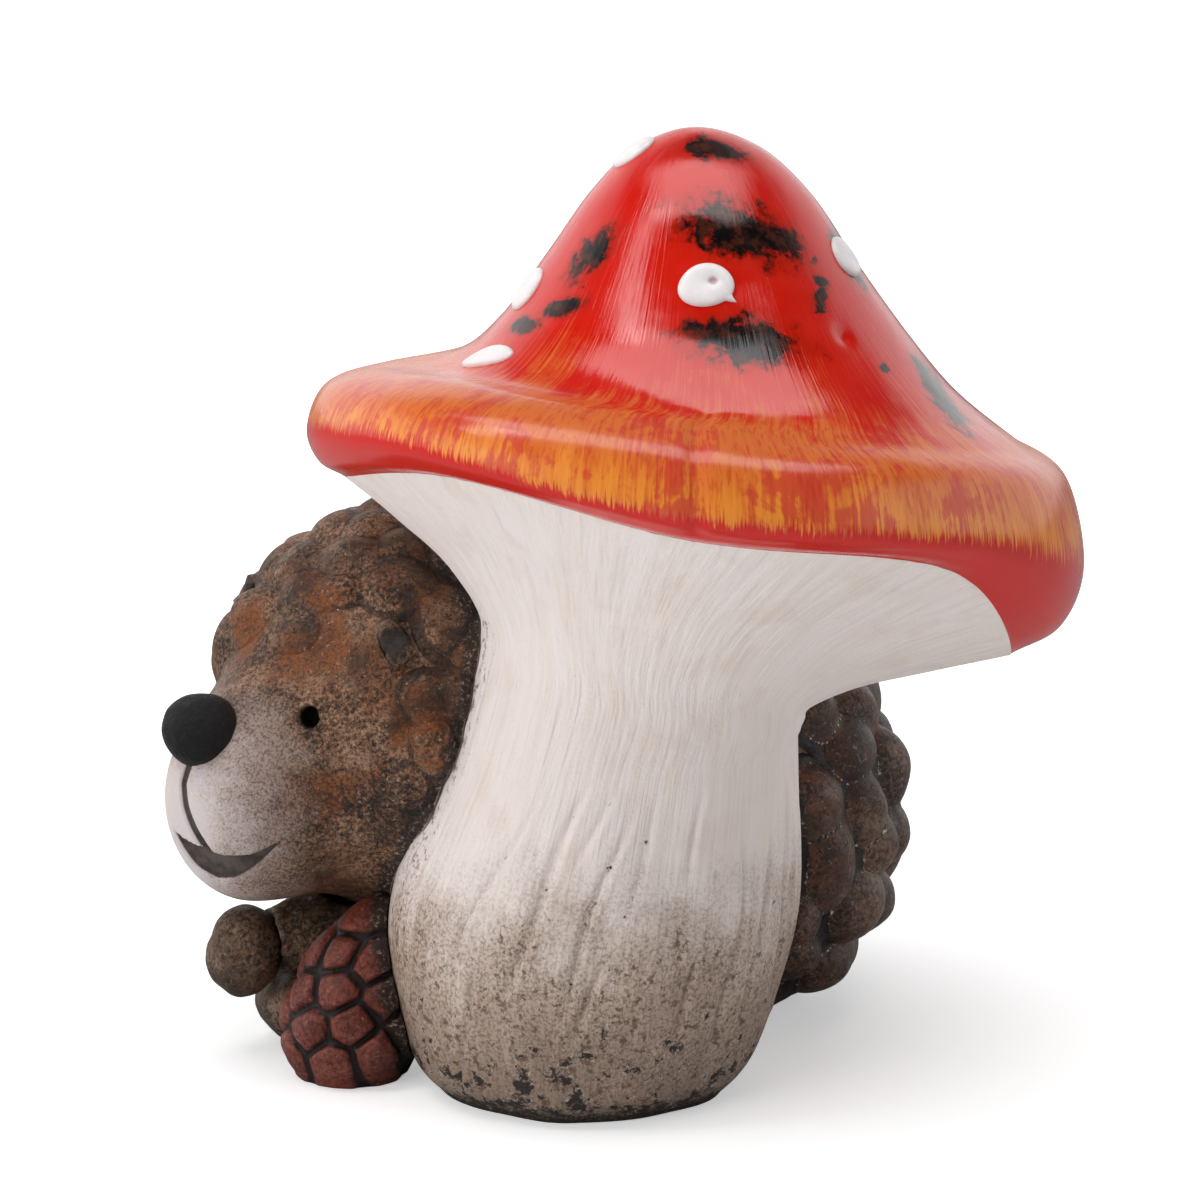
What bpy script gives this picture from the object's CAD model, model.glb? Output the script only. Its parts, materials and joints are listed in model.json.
import json
import math

import bpy
import numpy as np
from mathutils import Matrix, Vector, noise
from mathutils.bvhtree import BVHTree

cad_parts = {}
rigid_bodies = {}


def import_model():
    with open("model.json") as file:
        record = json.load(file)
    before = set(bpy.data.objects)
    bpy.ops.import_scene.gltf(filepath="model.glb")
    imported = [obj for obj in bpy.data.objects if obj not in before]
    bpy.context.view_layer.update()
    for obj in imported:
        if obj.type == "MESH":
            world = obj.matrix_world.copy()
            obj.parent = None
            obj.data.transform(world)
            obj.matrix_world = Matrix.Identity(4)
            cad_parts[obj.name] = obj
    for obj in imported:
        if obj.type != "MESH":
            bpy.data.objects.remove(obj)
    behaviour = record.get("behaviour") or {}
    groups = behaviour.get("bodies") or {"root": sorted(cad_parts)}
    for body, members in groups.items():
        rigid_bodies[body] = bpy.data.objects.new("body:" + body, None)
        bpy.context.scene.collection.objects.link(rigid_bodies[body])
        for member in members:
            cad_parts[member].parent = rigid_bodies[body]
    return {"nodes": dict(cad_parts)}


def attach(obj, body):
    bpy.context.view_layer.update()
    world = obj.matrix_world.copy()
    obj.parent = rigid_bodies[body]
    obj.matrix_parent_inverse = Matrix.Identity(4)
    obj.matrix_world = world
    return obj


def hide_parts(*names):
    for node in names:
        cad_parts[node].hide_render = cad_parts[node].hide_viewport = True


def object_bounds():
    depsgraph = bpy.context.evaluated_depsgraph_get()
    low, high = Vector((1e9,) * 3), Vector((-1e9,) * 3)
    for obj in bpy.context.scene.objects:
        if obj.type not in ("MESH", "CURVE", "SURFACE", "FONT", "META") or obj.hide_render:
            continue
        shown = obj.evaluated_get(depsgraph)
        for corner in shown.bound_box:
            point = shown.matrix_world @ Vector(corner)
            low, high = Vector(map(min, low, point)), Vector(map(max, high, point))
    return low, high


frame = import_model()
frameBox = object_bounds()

# A hedgehog looking out from behind a toadstool, in antiqued and glazed clay.
# Metres, +Z up, the hedgehog's face towards -X and -Y; the front view looks along +Y.

mm = 0.001
meshSettings = {"mergeWithin": 0.000002, "smoothBelow": 60}


# Small helpers

def deselectAll():
    for item in bpy.context.selected_objects:
        item.select_set(False)


def onlyActive(piece):
    deselectAll()
    piece.select_set(True)
    bpy.context.view_layer.objects.active = piece


def readPoints(piece, what="co"):
    # The places of a mesh's points, or with "normal" the directions outwards at them
    piece.data.update()
    flat = np.empty(len(piece.data.vertices) * 3)
    piece.data.vertices.foreach_get(what, flat)
    return flat.reshape(-1, 3)


def writePoints(piece, points):
    piece.data.vertices.foreach_set("co", np.asarray(points).ravel())
    piece.data.update()


def storeMask(piece, name, values):
    # A value for each point of the mesh, which the piece's material reads by name
    layer = piece.data.attributes.new(name, "FLOAT", "POINT")
    layer.data.foreach_set("value", np.clip(values, 0, 1).astype(np.float32))


def storeBlank(piece, *names):
    for name in names:
        storeMask(piece, name, np.zeros(len(piece.data.vertices)))


def storeVector(piece, name, values):
    layer = piece.data.attributes.new(name, "FLOAT_VECTOR", "POINT")
    layer.data.foreach_set("vector", np.asarray(values, dtype=np.float32).ravel())


def grain(points, size, seed=0.0):
    # Smooth wandering values from about -1 to 1, with hills of about the given size
    return np.array([noise.noise(Vector(point) / size + Vector((seed, seed, seed))) for point in points])


def smoothStep(low, high, values):
    # 0 at low and 1 at high, which may also be the smaller of the two
    share = np.clip((values - low) / (high - low), 0, 1)
    return share * share * (3 - 2 * share)


def between(a, b, c, d, t):
    # A smooth run from b to c, with a before them and d after them
    squared, cubed = 2 * a - 5 * b + 4 * c - d, 3 * b - a - 3 * c + d
    return 0.5 * (2 * b + (c - a) * t + squared * t ** 2 + cubed * t ** 3)


def around(values, azimuth):
    # A smooth value at an azimuth, from values at equal steps around
    values = np.asarray(values)
    count = len(values)
    place = (azimuth / (2 * math.pi) * count) % count
    low = place.astype(int)
    return between(*(values[(low + k) % count] for k in (-1, 0, 1, 2)), place - low)


def alongPath(corners, place, beyond=None):
    # A smooth run through the corners, each an array of points; place counts corners from 0
    first = 2 * corners[0] - corners[1]
    last = 2 * corners[-1] - corners[-2] if beyond is None else beyond
    stack = np.stack([first] + list(corners) + [last])
    low = np.clip(place.astype(int), 0, len(corners) - 2)
    row = np.arange(len(place))
    return between(*(stack[low + k, row] for k in range(4)), (place - low)[:, None])


def squareOff(surface, azimuth, place):
    # Outward direction of a surface that is given by azimuth and place along its path
    step = 0.002
    along = surface(azimuth, place + step) - surface(azimuth, place - step)
    across = surface(azimuth + step, place) - surface(azimuth - step, place)
    normal = np.cross(across, along)
    return normal / np.maximum(np.linalg.norm(normal, axis=1), 1e-12)[:, None]


def newWrap(name, across, down):
    # A flat sheet to wrap around: gives the sheet, the azimuth of each point, and its share of the way down
    deselectAll()
    bpy.ops.mesh.primitive_grid_add(x_subdivisions=across, y_subdivisions=down, size=2)
    piece = bpy.context.active_object
    piece.name = name
    points = readPoints(piece)
    return piece, (points[:, 0] + 1) * math.pi, (1 - points[:, 1]) / 2


def mergePoints(piece, turned=False, apart=False):
    # Merges points that have met; turned turns the faces round, and apart makes each loose shell a piece
    onlyActive(piece)
    bpy.ops.object.mode_set(mode="EDIT")
    bpy.ops.mesh.select_all(action="SELECT")
    bpy.ops.mesh.remove_doubles(threshold=meshSettings["mergeWithin"])
    if turned:
        bpy.ops.mesh.flip_normals()
    if apart:
        bpy.ops.mesh.separate(type="LOOSE")
    bpy.ops.object.mode_set(mode="OBJECT")


def applyModifier(piece, kind, **settings):
    modifier = piece.modifiers.new(kind.lower(), kind)
    for key, value in settings.items():
        setattr(modifier, key, value)
    onlyActive(piece)
    bpy.ops.object.modifier_apply(modifier=modifier.name)


def finishPiece(piece, nodes, material):
    # Smooth shading, one material, and the CAD nodes that the piece stands for
    onlyActive(piece)
    bpy.ops.object.shade_smooth_by_angle(angle=math.radians(meshSettings["smoothBelow"]))
    piece.data.materials.clear()
    piece.data.materials.append(material)
    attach(piece, "root")
    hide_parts(*nodes)
    deselectAll()


# Materials

class Wire:
    # A socket of a node tree that can be reckoned with: each sign adds a math node
    def __init__(self, tree, socket):
        self.tree, self.socket = tree, socket

    def __add__(self, other):
        return reckon(self.tree, "ADD", self, other)

    def __sub__(self, other):
        return reckon(self.tree, "SUBTRACT", self, other)

    def __rsub__(self, other):
        return reckon(self.tree, "SUBTRACT", other, self)

    def __mul__(self, other):
        return reckon(self.tree, "MULTIPLY", self, other)

    def __truediv__(self, other):
        return reckon(self.tree, "DIVIDE", self, other)

    def larger(self, other):
        return reckon(self.tree, "MAXIMUM", self, other)


def plug(tree, value, socket):
    # A wire is linked, a number or a colour is set
    if isinstance(value, Wire):
        tree.links.new(value.socket, socket)
    elif socket.type == "RGBA":
        socket.default_value = (*value, 1.0)
    else:
        socket.default_value = value


def addNode(tree, kind, inputs=None, **settings):
    new = tree.nodes.new(kind)
    for key, value in settings.items():
        setattr(new, key, value)
    for key, value in (inputs or {}).items():
        plug(tree, value, new.inputs[key])
    return new


def wireFrom(tree, output, kind, inputs=None, **settings):
    return Wire(tree, addNode(tree, kind, inputs, **settings).outputs[output])


def reckon(tree, operation, first, second=0.0):
    return wireFrom(tree, 0, "ShaderNodeMath", {0: first, 1: second}, operation=operation)


def mask(tree, name):
    return wireFrom(tree, "Fac", "ShaderNodeAttribute", attribute_name=name)


def vectorOf(tree, name):
    return wireFrom(tree, "Vector", "ShaderNodeAttribute", attribute_name=name)


def partsOf(vector):
    parts = addNode(vector.tree, "ShaderNodeSeparateXYZ", {0: vector}).outputs
    return [Wire(vector.tree, part) for part in parts]


def ramp(value, low, high, start=0.0, end=1.0, **settings):
    settings = settings or {"interpolation_type": "SMOOTHSTEP"}
    return wireFrom(value.tree, "Result", "ShaderNodeMapRange", {
        "Value": value, "From Min": low, "From Max": high, "To Min": start, "To Max": end}, **settings)


def blend(share, under, over):
    return wireFrom(share.tree, 2, "ShaderNodeMix", {0: share, 6: under, 7: over}, data_type="RGBA")


def speckle(where, scale, detail=4.0, roughness=0.6, distortion=0.0):
    return wireFrom(where.tree, "Fac", "ShaderNodeTexNoise", {
        "Vector": where, "Scale": scale, "Detail": detail, "Roughness": roughness, "Distortion": distortion})


def newMaterial(name):
    material = bpy.data.materials.new(name)
    material.use_nodes = True
    tree = material.node_tree
    return material, tree, wireFrom(tree, "Object", "ShaderNodeTexCoord")


def finishMaterial(material, inputs, height=None, distance=0.0, strength=1.0):
    # Sets the shader's inputs, and its normal by the height of a bump
    tree = material.node_tree
    if height is not None:
        inputs["Normal"] = wireFrom(tree, "Normal", "ShaderNodeBump", {
            "Height": height, "Distance": distance, "Strength": strength})
    for key, value in inputs.items():
        plug(tree, value, tree.nodes["Principled BSDF"].inputs[key])
    return material


def makeGroup(name, inputs, output):
    # An effect that several materials use, with named sockets
    group = bpy.data.node_groups.new(name, "ShaderNodeTree")
    for socket, value in inputs.items():
        kind = "NodeSocketVector" if value is None else "NodeSocketFloat"
        new = group.interface.new_socket(name=socket, in_out="INPUT", socket_type=kind)
        if value is not None:
            new.default_value = value
    group.interface.new_socket(name=output, in_out="OUTPUT", socket_type="NodeSocketFloat")
    start = group.nodes.new("NodeGroupInput")
    wires = [Wire(group, start.outputs[socket]) for socket in inputs]
    return group, wires, group.nodes.new("NodeGroupOutput")


def makeFlecks():
    # Scattered spots: Amount 0 leaves none, 1 covers everything
    group, (vector, scale, amount, softness), end = makeGroup(
        "flecks", {"Vector": None, "Scale": 500.0, "Amount": 0.3, "Softness": 0.05}, "Mask")
    spots = speckle(vector, scale, 4.0, 0.75)
    low = 0.82 - amount * 0.6
    plug(group, ramp(spots, low, low + softness, interpolation_type="LINEAR"), end.inputs["Mask"])
    return group


def makeStrokes():
    # Brush marks: noise drawn out along the third axis of the vector
    group, (vector, across, along), end = makeGroup(
        "strokes", {"Vector": None, "Across": 30.0, "Along": 2.0}, "Value")
    scale = wireFrom(group, 0, "ShaderNodeCombineXYZ", {"X": across, "Y": across, "Z": along})
    drawn = wireFrom(group, 0, "ShaderNodeVectorMath", {0: vector, 1: scale}, operation="MULTIPLY")
    plug(group, speckle(drawn, 1.0, 3.0), end.inputs["Value"])
    return group


fleckGroup = makeFlecks()
strokeGroup = makeStrokes()


def flecks(where, scale, amount, softness=0.05):
    return wireFrom(where.tree, "Mask", "ShaderNodeGroup", {
        "Vector": where, "Scale": scale, "Amount": amount, "Softness": softness}, node_tree=fleckGroup)


def strokes(where, across, along):
    return wireFrom(where.tree, "Value", "ShaderNodeGroup", {
        "Vector": where, "Across": across, "Along": along}, node_tree=strokeGroup)


glaze = {
    "crown": ((0.56, 0.008, 0.003), (0.62, 0.018, 0.008)),
    "rim": ((0.80, 0.27, 0.035), (0.66, 0.150, 0.028)),
    "brushed": (0.60, 0.095, 0.020), "blush": (0.58, 0.050, 0.030), "dashes": (0.50, 0.030, 0.012),
    "lip": (0.58, 0.012, 0.008), "deep": (0.46, 0.012, 0.003), "pits": (0.10, 0.010, 0.006),
    "burnt": ((0.005, 0.004, 0.004), (0.060, 0.014, 0.008)), "refraction": 1.52,
}


def glazeMaterial():
    # Red glaze over a brushed orange and yellow rim, with burnt black patches
    material, tree, where = newMaterial("glazeRed")
    place = vectorOf(tree, "capPlace")
    toRight, _, height = partsOf(place)
    wide, fine = strokes(place, 13.0, 3.5), strokes(place, 62.0, 5.0)
    hair, dash = strokes(place, 150.0, 9.0), strokes(place, 95.0, 26.0)
    blotch = speckle(where, 95.0, 4.0, 0.65, 0.4)
    # the rim, yellow at its lower edge
    low = height + (wide - 0.5) * 0.20
    rim = blend(ramp(low, 0.21, 0.30), *glaze["rim"])
    rim = blend(ramp(fine, 0.42, 0.70) * 0.52, rim, glaze["brushed"])
    rim = blend(ramp(blotch + (fine - 0.5) * 0.45, 0.49, 0.60) * 0.80, rim, glaze["blush"])
    dashes = ramp(dash, 0.50, 0.62) * ramp(low, 0.20, 0.27)
    rim = blend(dashes * 0.50, rim, glaze["dashes"])
    # the crown's ragged edge over it
    brushed = (fine - 0.5) * 0.30 + (blotch - 0.5) * 0.34
    edge = height + (brushed + toRight * 0.045)
    upper = ramp(edge, 0.385, 0.535) * ramp(hair, 0.40, 0.56, 0.70, 1.0)
    upper = upper.larger(ramp(edge, 0.475, 0.575))
    crown = blend(ramp(speckle(where, 60.0, 3.0), 0.35, 0.7), *glaze["crown"])
    colour = blend(upper, rim, crown)
    lipEdge = (height - toRight * 0.022) + (hair - 0.5) * 0.13
    lipEdge = lipEdge - ramp(toRight, -0.35, -0.90, 0.0, 0.055)
    colour = blend(ramp(lipEdge, 0.205, 0.180), colour, glaze["lip"])
    # burnt patches, in deep red that turns black
    burnt = mask(tree, "burnt")
    jagged = (speckle(where, 210.0, 4.0, 0.6, 0.5) - 0.5) * 1.35
    jagged = jagged + (speckle(where, 900.0, 4.0, 0.7) - 0.5) * 0.5
    colour = blend(ramp(burnt + jagged * 0.4, 0.10, 0.45) * 0.85, colour, glaze["deep"])
    black = blend(ramp(speckle(where, 420.0), 0.42, 0.66), *glaze["burnt"])
    colour = blend(ramp(burnt + jagged, 0.34, 0.62), colour, black)
    colour = blend(flecks(where, 300.0, 0.11, 0.04), colour, glaze["pits"])
    gloss = ramp(speckle(where, 140.0, 2.0), 0.3, 0.7, 0.07, 0.13) + ramp(upper, 1.0, 0.0, 0.0, 0.13)
    inputs = {"Base Color": colour, "Roughness": gloss, "IOR": glaze["refraction"]}
    return finishMaterial(material, inputs, speckle(where, 70.0, 2.0) + fine * 0.22, 0.0006, 0.45)


slip = {
    "white": ((0.80, 0.73, 0.71), (0.78, 0.70, 0.65)), "streaks": (0.58, 0.49, 0.44),
    "warm": (0.69, 0.57, 0.49),
    "beige": ((0.45, 0.345, 0.275), (0.285, 0.205, 0.155)), "coarse": (0.135, 0.098, 0.078),
    "browned": (0.120, 0.062, 0.042), "tooled": (0.25, 0.19, 0.155), "grime": (0.19, 0.075, 0.036),
    "chalk": (0.55, 0.48, 0.42), "cracks": (0.034, 0.027, 0.024), "roughness": 0.62, "specular": 0.35,
}


def slipMaterial():
    # Matt white slip put on with a brush, worn to beige and pitted near the ground
    material, tree, where = newMaterial("slipWhite")
    place = vectorOf(tree, "slipPlace")
    low = partsOf(where)[2]
    wide, fine = strokes(place, 9.0, 3.0), strokes(place, 36.0, 4.8)
    cloud = speckle(where, 55.0) - 0.5
    grit = speckle(where, 1500.0, 3.0, 0.7)
    # heights in metres at which the slip turns from white to worn beige
    ragged = (low + (cloud * 0.036 + (wide - 0.5) * 0.024)) - (grit - 0.5) * 0.018
    worn = ramp(ragged, 0.054, 0.026)
    colour = blend(ramp(wide, 0.35, 0.7), *slip["white"])
    colour = blend(ramp(fine, 0.50, 0.70) * 0.24, colour, slip["streaks"])
    colour = blend(ramp(speckle(where, 90.0), 0.50, 0.70) * 0.40, colour, slip["warm"])
    beige = blend(ramp(ragged, 0.032, 0.006), *slip["beige"])
    beige = blend(ramp(grit, 0.44, 0.62) * 0.62, beige, slip["coarse"])
    colour = blend(worn, colour, beige)
    browned = flecks(where, 520.0, worn * 0.34 + 0.08)
    colour = blend(browned * 0.75, colour, slip["browned"])
    grooved = mask(tree, "groove")
    tooled = grooved * (ramp(grit, 0.35, 0.6, 0.4, 1.0) * ramp(low, 0.052, 0.030, 0.10, 0.60))
    colour = blend(tooled, colour, slip["tooled"])
    colour = blend(flecks(where, 620.0, mask(tree, "grime") * 0.52, 0.14), colour, slip["grime"])
    # the chalky, cracked foot
    cracked = (speckle(where, 210.0, 6.0, 0.75) + grooved * 0.10) + ramp(
        low + cloud * 0.030, 0.036, -0.002, -0.12, 0.075)
    chalky = ramp(cracked, 0.525, 0.555) * flecks(where, 900.0, 0.46, 0.08)
    colour = blend(chalky * 0.80, colour, slip["chalk"])
    dark = flecks(where, 900.0, 0.13, 0.04).larger(ramp(cracked, 0.580, 0.615))
    dark = dark.larger(ramp(low + (grit - 0.5) * 0.014, 0.0034, 0.0008))
    colour = blend(dark, colour, slip["cracks"])
    bumpy = ((fine + wide * 1.4) + grit * 0.45) - dark.larger(browned) * 1.2
    inputs = {"Base Color": colour, "Roughness": slip["roughness"], "Specular IOR Level": slip["specular"]}
    return finishMaterial(material, inputs, bumpy, 0.0005, 0.65)


clays = {
    # tones of the dark, middle and light clay, of the rust over it and of rubbed crests, then roughness,
    # how black the creases are, and how many pale chips lie beside them
    "body": ((0.014, 0.009, 0.007), (0.105, 0.052, 0.030), (0.215, 0.122, 0.076), (0.175, 0.054, 0.016),
             (0.36, 0.31, 0.28), 0.36, 0.90, 0.42),
    "face": ((0.022, 0.015, 0.012), (0.175, 0.088, 0.048), (0.370, 0.225, 0.145), (0.240, 0.068, 0.014),
             (0.47, 0.34, 0.25), 0.50, 0.70, 0.30),
    "hide": ((0.026, 0.018, 0.013), (0.130, 0.076, 0.047), (0.250, 0.160, 0.106), (0.170, 0.072, 0.030),
             (0.30, 0.23, 0.18), 0.56, 0.85, 0.15),
    "cone": ((0.070, 0.014, 0.009), (0.170, 0.036, 0.022), (0.225, 0.068, 0.048), (0.250, 0.050, 0.016),
             (0.33, 0.15, 0.12), 0.46, 0.96, 0.12),
}
grimes = {
    "pepper": (0.020, 0.016, 0.014), "soot": ((0.018, 0.015, 0.013), (0.30, 0.25, 0.21)),
    "ink": (0.009, 0.008, 0.008), "chips": (0.62, 0.57, 0.52),
}


def stainedClay(tree, where, kind):
    # Stained clay: tones run from dark to light, then rust; black in the creases, rubbed pale on the crests
    darkTone, middleTone, lightTone, rustTone, crestTone, _, ink, chips = clays[kind]
    cloud = speckle(where, 100.0, 5.0, 0.65)
    grainy = speckle(where, 1250.0, 4.0, 0.75)
    rough = grainy - 0.5
    smut = speckle(where, 72.0, 5.0, 0.7, 0.3)
    mottled = cloud + rough * 1.9
    colour = blend(ramp(mottled, 0.32, 0.54), darkTone, middleTone)
    colour = blend(ramp(mottled, 0.54, 0.76), colour, lightTone)
    rusty = (speckle(where, 75.0, 4.0, 0.6, 0.6) + rough * 0.30) + mask(tree, "rust") * 0.17
    colour = blend(ramp(rusty, 0.48, 0.74) * ramp(grainy, 0.34, 0.62, 0.40, 1.0), colour, rustTone)
    colour = blend(ramp(smut + rough * 0.85, 0.53, 0.68) * 0.85, colour, darkTone)
    colour = blend(flecks(where, 1000.0, 0.46, 0.08) * 0.60, colour, grimes["pepper"])
    crest = mask(tree, "crest") + (cloud - 0.5) * 1.6
    pale = ramp(crest, 0.55, 1.15) * flecks(where, 460.0, 0.48, 0.20)
    colour = blend(pale * 0.42, colour, crestTone)
    colour = blend(flecks(where, 1150.0, 0.36, 0.06) * 0.55, colour, crestTone)
    gloom = mask(tree, "soot") + (smut - 0.5) * 1.5
    soot = blend(flecks(where, 1250.0, 0.46, 0.10), *grimes["soot"])
    colour = blend(ramp(gloom, 0.42, 0.85) * 0.86, colour, soot)
    crease = mask(tree, "crease") + (speckle(where, 170.0, 5.0, 0.72) - 0.5) * 1.9
    inked = ramp(crease, 0.42, 0.86)
    colour = blend(inked * ink, colour, grimes["ink"])
    beside = ramp(crease, 0.36, 0.48) * ramp(crease, 0.90, 0.66)
    colour = blend(beside * flecks(where, 850.0, chips), colour, grimes["chips"])
    return colour, inked, speckle(where, 380.0, 5.0, 0.7) + grainy * 0.4


def stainedMaterial(name, kind):
    material, tree, where = newMaterial(name)
    colour, inked, bumpy = stainedClay(tree, where, kind)
    roughness = clays[kind][5]
    inputs = {"Base Color": colour, "Roughness": ramp(inked, 0.0, 1.0, roughness, roughness * 0.7),
              "Specular IOR Level": 0.42}
    return finishMaterial(material, inputs, bumpy, 0.0007, 0.6)


muzzle = {
    "pale": ((0.58, 0.52, 0.53), (0.66, 0.58, 0.54)), "tint": (0.45, 0.37, 0.13),
    "grey": (0.315, 0.240, 0.210),
    "dirt": (0.055, 0.038, 0.030), "shade": (0.030, 0.026, 0.024), "eye": (0.003, 0.003, 0.003),
    "mouth": ((0.045, 0.037, 0.033), (0.095, 0.075, 0.066)), "roughness": 0.62, "specular": 0.25,
    # in degrees: turn and rise of its middle, half its width and height, and turn of the greenish tint
    "middle": (-3.0, -13.0), "spread": (26.0, 27.0), "tinted": 12.0,
}


def faceMaterial(name):
    # Pale muzzle that turns through dark grain to stained clay on the cheeks, with an inked smile
    material, tree, where = newMaterial(name)
    turn, rise = (part * 90.0 for part in partsOf(vectorOf(tree, "faceAngle"))[:2])
    grainy = speckle(where, 2100.0, 3.0, 0.75) - 0.5
    cloud = speckle(where, 85.0, 5.0, 0.65) - 0.5
    aside, above = ((angle - middle) / spread
                    for angle, middle, spread in zip((turn, rise), muzzle["middle"], muzzle["spread"]))
    away = reckon(tree, "SQRT", aside * aside + above * above) + cloud
    pale = blend(ramp(cloud, -0.1, 0.15), *muzzle["pale"])
    tinted = ramp(speckle(where, 120.0, 3.0), 0.52, 0.66) * ramp(
        reckon(tree, "ABSOLUTE", turn - muzzle["tinted"]), 9.0, 3.0)
    pale = blend(tinted * 0.55, pale, muzzle["tint"])
    brown, inked, bumpy = stainedClay(tree, where, "face")
    pale = blend(ramp(away + grainy * 0.7, 0.27, 0.84), pale, muzzle["grey"])
    turning = ramp(away + grainy, 0.70, 1.25)
    colour = blend(turning, pale, brown)
    dirt = grainy + ramp(away, 0.15, 0.95, 0.0, 0.19)
    colour = blend(ramp(dirt, 0.15, 0.33) * 0.62, colour, muzzle["dirt"])
    colour = blend(ramp(mask(tree, "shade") + cloud * 0.8, 0.3, 0.9) * 0.85, colour, muzzle["shade"])
    mouth = blend(ramp(speckle(where, 300.0, 3.0), 0.35, 0.65), *muzzle["mouth"])
    colour = blend(ramp(mask(tree, "mouth"), 0.30, 0.60), colour, mouth)
    colour = blend(ramp(mask(tree, "eye"), 0.20, 0.50), colour, muzzle["eye"])
    roughness = ramp(turning, 0.0, 1.0, muzzle["roughness"], clays["face"][5])
    inputs = {"Base Color": colour, "Roughness": roughness, "Specular IOR Level": muzzle["specular"]}
    return finishMaterial(material, inputs, bumpy, 0.0006, 0.6)


def noseMaterial():
    # Matt black, rubbed a little
    material, tree, where = newMaterial("noseBlack")
    colour = blend(flecks(where, 1100.0, 0.34, 0.10) * 0.5, (0.009, 0.009, 0.009), (0.060, 0.060, 0.057))
    roughness = ramp(speckle(where, 500.0, 3.0), 0.3, 0.7, 0.48, 0.66)
    inputs = {"Base Color": colour, "Roughness": roughness, "Specular IOR Level": 0.28}
    return finishMaterial(material, inputs, speckle(where, 700.0, 5.0, 0.7), 0.0009, 0.8)


def dotMaterial():
    # Thick white, stained pink in the dimple
    material, tree, where = newMaterial("dotWhite")
    colour = blend(ramp(speckle(where, 260.0, 3.0), 0.4, 0.65), (0.80, 0.76, 0.76), (0.74, 0.69, 0.70))
    colour = blend(mask(tree, "dimple"), colour, (0.42, 0.24, 0.27))
    inputs = {"Base Color": colour, "Roughness": 0.30}
    return finishMaterial(material, inputs, speckle(where, 330.0, 3.0), 0.0003, 0.5)


# Camera, floor and light

view = {"dip": 14.0, "distance": 0.90, "aim": (0.0033, 0.0, 0.0907), "lens": 148.5, "sensor": 36.0,
        "nearest": 0.01, "farthest": 20.0}


def makeCamera():
    dip = math.radians(view["dip"])
    forward = Vector((0, math.cos(dip), -math.sin(dip)))
    camera = bpy.data.objects.new("camera", bpy.data.cameras.new("camera"))
    bpy.context.scene.collection.objects.link(camera)
    camera.location = Vector(view["aim"]) - forward * view["distance"]
    camera.rotation_euler = forward.to_track_quat("-Z", "Y").to_euler()
    camera.data.lens = view["lens"]
    camera.data.sensor_width = view["sensor"]
    camera.data.clip_start = view["nearest"]
    camera.data.clip_end = view["farthest"]
    bpy.context.scene.camera = camera


studio = {
    "paper": (0.93, 0.93, 0.93), "mirrored": 0.45, "matt": 0.9, "floor": 6.0, "glow": (0.42, 1.0),
    "glowFrom": (0.16, 0.60), "ahead": 0.05, "behind": 1.1, "sky": (0.10, 0.35), "sides": (0.60, 0.85),
    "horizon": (0.66, 0.42), "overhead": 0.10,
}
lamps = {
    # place of the middle, where it points, width, height, radiance, and whether glaze mirrors it
    "top": ((0.0, -0.07, 1.30), (0.0, -0.07, 0.0), 1.35, 0.80, 3.2, True),
    "left": ((-0.60, -0.26, 1.00), (0.01, 0.0, 0.09), 0.18, 0.44, 5.5, True),
    "fill": ((-1.10, -1.10, 0.60), (0.01, 0.0, 0.09), 0.9, 0.8, 5.2, False),
}


def makeWorld():
    # White for the camera; for the object, paper all round behind it and a dim room ahead
    world = bpy.data.worlds.new("studio")
    bpy.context.scene.world = world
    world.use_nodes = True
    tree = world.node_tree
    x, y, z = partsOf(wireFrom(tree, "Generated", "ShaderNodeTexCoord"))
    behind = ramp(y, *studio["sky"], studio["ahead"], studio["behind"])
    aside = ramp(reckon(tree, "ABSOLUTE", x), *studio["sides"], 0.0, studio["behind"])
    lit = behind.larger(aside) * ramp(z, *studio["horizon"], studio["overhead"], 1.0)
    camera = wireFrom(tree, "Is Camera Ray", "ShaderNodeLightPath")
    through = wireFrom(tree, "Is Transmission Ray", "ShaderNodeLightPath")
    plug(tree, (1, 1, 1), tree.nodes["Background"].inputs["Color"])
    plug(tree, camera.larger(through).larger(lit), tree.nodes["Background"].inputs["Strength"])


def makeFloor():
    deselectAll()
    bpy.ops.mesh.primitive_plane_add(size=studio["floor"], location=(0, 0, frameBox[0][2]))
    floor = bpy.context.active_object
    floor.name = "floor"
    material, tree, where = newMaterial("paperWhite")
    away = wireFrom(tree, "Value", "ShaderNodeVectorMath", {0: where}, operation="LENGTH")
    camera = wireFrom(tree, "Is Camera Ray", "ShaderNodeLightPath")
    glossy = wireFrom(tree, "Is Glossy Ray", "ShaderNodeLightPath")
    glow = ramp(away, *studio["glowFrom"], *studio["glow"]) * camera
    dimmed = tuple(studio["mirrored"] * share for share in studio["paper"])
    paper = blend(glossy, studio["paper"], dimmed)
    finishMaterial(material, {"Base Color": paper, "Roughness": studio["matt"], "Emission Color": (1, 1, 1),
                              "Emission Strength": glow})
    floor.data.materials.append(material)


def makeLamp(name):
    place, aim, width, height, radiance, mirrored = lamps[name]
    lamp = bpy.data.lights.new(name, "AREA")
    lamp.shape = "RECTANGLE"
    lamp.size, lamp.size_y = width, height
    lamp.energy = radiance * math.pi * width * height
    holder = bpy.data.objects.new(name, lamp)
    bpy.context.scene.collection.objects.link(holder)
    holder.location = place
    holder.rotation_euler = (Vector(aim) - Vector(place)).to_track_quat("-Z", "Y").to_euler()
    holder.visible_glossy = mirrored



makeCamera()
makeWorld()
makeFloor()
for name in lamps:
    makeLamp(name)
bpy.context.scene.view_settings.view_transform = "Standard"
print("camera and studio placed")


# Toadstool

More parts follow.
